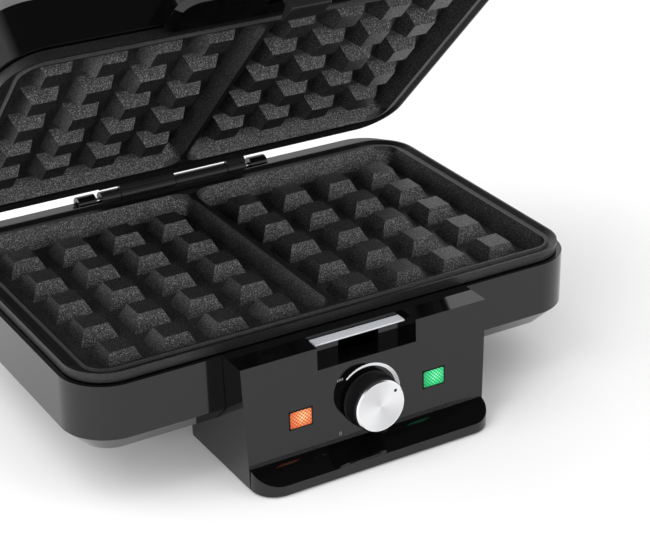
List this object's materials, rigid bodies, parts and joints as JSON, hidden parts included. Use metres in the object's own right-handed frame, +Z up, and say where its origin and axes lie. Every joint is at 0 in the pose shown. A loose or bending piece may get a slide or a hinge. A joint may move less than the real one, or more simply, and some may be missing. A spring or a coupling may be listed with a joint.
{
  "type": "waffle maker",
  "caption": "Low black waffle maker with a hinged lid, two pocketed non-stick plates, a front control box with a dial and lamps, and a lid latch",
  "frame": {"origin": "on the table, under the middle of the open appliance's bounding box", "axes": "+X to the user's right, +Y to the back where the hinge is, +Z up"},
  "size_m": [0.2482, 0.2108, 0.2059],
  "materials": {
    "gloss_black": "mirror-gloss black moulded plastic",
    "satin_black": "satin black moulded plastic",
    "nonstick": "cast aluminium with a dark speckled non-stick coating",
    "black_steel": "black coated steel with a fine texture",
    "plain_steel": "plain zinc-plated steel",
    "bright_steel": "bright turned steel",
    "bright_chrome": "bright chrome",
    "spun_aluminium": "silver cap with a spun radial sheen and a bright edge",
    "foot_rubber": "black rubber",
    "amber_lens": "lit orange-red prismatic lens",
    "green_lens": "lit green prismatic lens",
    "ivory_plastic": "ivory heat-resistant plastic"
  },
  "bodies": {
    "base": {"base_housing": "gloss_black", "base_cover": "plain_steel", "cover_screws": "plain_steel", "rear_legs": "satin_black", "rear_pads": "foot_rubber", "front_pads": "foot_rubber", "control_box": "gloss_black", "pedestal_cover": "satin_black", "pedestal_screws": "plain_steel", "latch_keeper": "bright_chrome", "dial_ring": "satin_black", "thermostat_body": "plain_steel", "thermostat_bracket": "plain_steel", "power_lens": "amber_lens", "ready_lens": "green_lens", "lamp_holders": "satin_black", "lower_plate": "nonstick", "lower_element": "plain_steel", "lower_reflector": "plain_steel", "lower_plate_screws": "plain_steel", "terminal_block": "ivory_plastic", "thermal_cutout": "plain_steel", "cord_bush": "satin_black", "hinge_base_leaf": "black_steel", "hinge_pin": "bright_steel", "hinge_end_blocks": "gloss_black"},
    "lid": {"lid_housing": "gloss_black", "lid_handle": "gloss_black", "handle_screws": "plain_steel", "upper_plate": "nonstick", "upper_element": "plain_steel", "upper_reflector": "plain_steel", "upper_plate_screws": "plain_steel", "hinge_lid_leaf": "black_steel", "hinge_screws": "plain_steel", "latch_pin": "bright_steel"},
    "latch": {"latch_lever": "satin_black"},
    "knob": {"control_knob": "satin_black", "knob_cap": "spun_aluminium", "thermostat_shaft": "plain_steel"}
  },
  "joints": [
    {"name": "lid_hinge", "type": "hinge", "parent": "base", "child": "lid", "pos_m": [0, 0.08832, 0.0591], "axis": [1, 0, 0], "range_deg": [-59, 46]},
    {"name": "latch_turn", "type": "hinge", "parent": "lid", "child": "latch", "pos_m": [0, -0.03019, 0.19794], "axis": [1, 0, 0], "range_deg": [0, 18]},
    {"name": "knob_turn", "type": "hinge", "parent": "base", "child": "knob", "pos_m": [0, -0.09288, 0.02703], "axis": [0, -0.9992, 0.0401], "range_deg": [-69, 201]}
  ]
}
